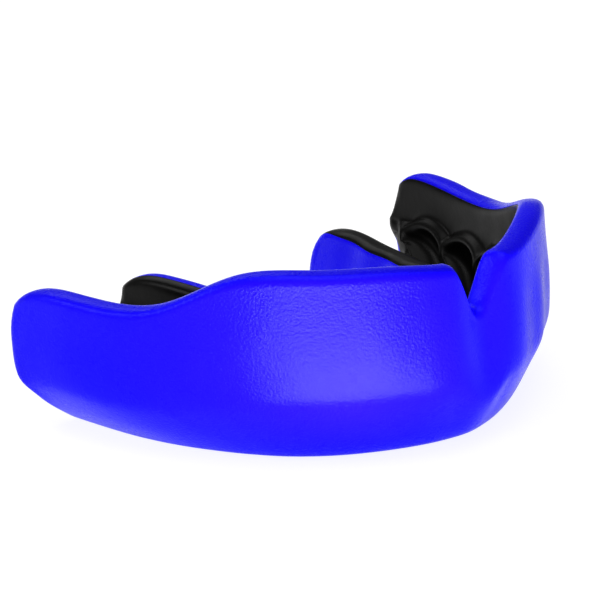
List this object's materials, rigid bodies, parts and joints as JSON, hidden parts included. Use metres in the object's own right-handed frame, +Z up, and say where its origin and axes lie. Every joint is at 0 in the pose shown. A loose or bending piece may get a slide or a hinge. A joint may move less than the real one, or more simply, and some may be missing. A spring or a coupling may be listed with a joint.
{
  "type": "mouthguard",
  "caption": "Upper-teeth mouthguard: a horseshoe-shaped two-layer tray with a tall lip wall, a frenum notch, a low tongue wall and a channel with tooth prints.",
  "frame": {"origin": "on the surface that the guard lies on, under the middle of its box", "axes": "+Z up, out of the tooth channel; -Y towards the lips; +X towards the wearer's left cheek"},
  "size_m": [0.0723, 0.051, 0.0249],
  "materials": {
    "outer_shell": "satin blue EVA, faint orange peel, moulded smooth",
    "inner_liner": "satin black EVA, moulded to the teeth"
  },
  "bodies": {
    "root": {"outer_shell": "outer_shell", "inner_liner": "inner_liner"}
  },
  "joints": []
}
